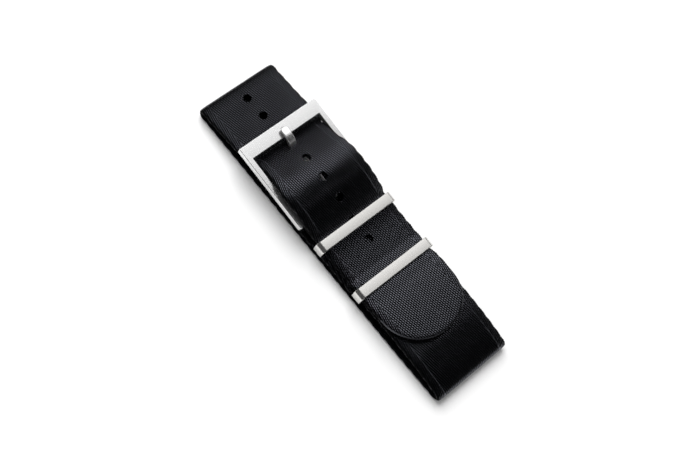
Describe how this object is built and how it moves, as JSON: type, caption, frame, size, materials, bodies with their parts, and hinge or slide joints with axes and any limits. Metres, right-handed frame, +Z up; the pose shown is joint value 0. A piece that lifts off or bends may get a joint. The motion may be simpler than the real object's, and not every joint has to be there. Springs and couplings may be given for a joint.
{
  "type": "watch strap",
  "caption": "Black nylon webbing watch strap, closed on a satin steel pin buckle with its free end run through steel ring keepers, laid flat.",
  "frame": {"origin": "on the table, under the middle of the closed strap: halfway between its two folds and halfway across the webbing", "axes": "+X along the strap, from the fold by the buckle to the fold by the tip; +Y across the webbing, to the right in the picture; +Z up from the table"},
  "size_m": [0.082, 0.0216, 0.0079],
  "materials": {
    "webbing": "fine ribbed nylon weave",
    "thread": "twisted nylon thread",
    "frame_steel": "fine satin",
    "tongue_steel": "satin, worn bright on top",
    "bar_steel": "turned",
    "spring_steel": "drawn wire",
    "keeper_steel": "fine satin, brushed across the strap"
  },
  "bodies": {
    "strap": {"strap_webbing": "webbing", "loop_stitching": "thread"},
    "buckle": {"buckle_frame": "frame_steel"},
    "tongue": {"buckle_tongue": "tongue_steel"},
    "bar": {"bar_tube": "bar_steel", "bar_spring": "spring_steel"},
    "plunger_left": {"bar_plunger_left": "bar_steel"},
    "plunger_right": {"bar_plunger_right": "bar_steel"},
    "front_keeper": {"keeper_front": "keeper_steel"},
    "rear_keeper": {"keeper_rear": "keeper_steel"}
  },
  "joints": [
    {"name": "buckle_tilt", "type": "hinge", "parent": "strap", "child": "buckle", "pos_m": [-0.008, 0, 0.00445], "axis": [0, 1, 0], "range_deg": [0, 1.5]},
    {"name": "tongue_lift", "type": "hinge", "parent": "buckle", "child": "tongue", "pos_m": [-0.008, 0, 0.00445], "axis": [0, 1, 0], "range_deg": [0, 1.5]},
    {"name": "bar_turn", "type": "hinge", "parent": "buckle", "child": "bar", "pos_m": [-0.008, 0, 0.00445], "axis": [0, 1, 0], "continuous": true},
    {"name": "plunger_left_press", "type": "slide", "parent": "bar", "child": "plunger_left", "axis": [0, 1, 0], "range_m": [0, 0.00085], "stiffness_N_per_m": 400, "springref_m": -0.001, "deforming": ["bar_spring"]},
    {"name": "plunger_right_press", "type": "slide", "parent": "bar", "child": "plunger_right", "axis": [0, -1, 0], "range_m": [0, 0.00085], "stiffness_N_per_m": 400, "springref_m": -0.001, "deforming": ["bar_spring"]},
    {"name": "front_keeper_slide", "type": "slide", "parent": "strap", "child": "front_keeper", "axis": [1, 0, 0], "range_m": [0, 0.005]},
    {"name": "rear_keeper_slide", "type": "slide", "parent": "strap", "child": "rear_keeper", "axis": [1, 0, 0], "range_m": [-0.005, 0]}
  ]
}
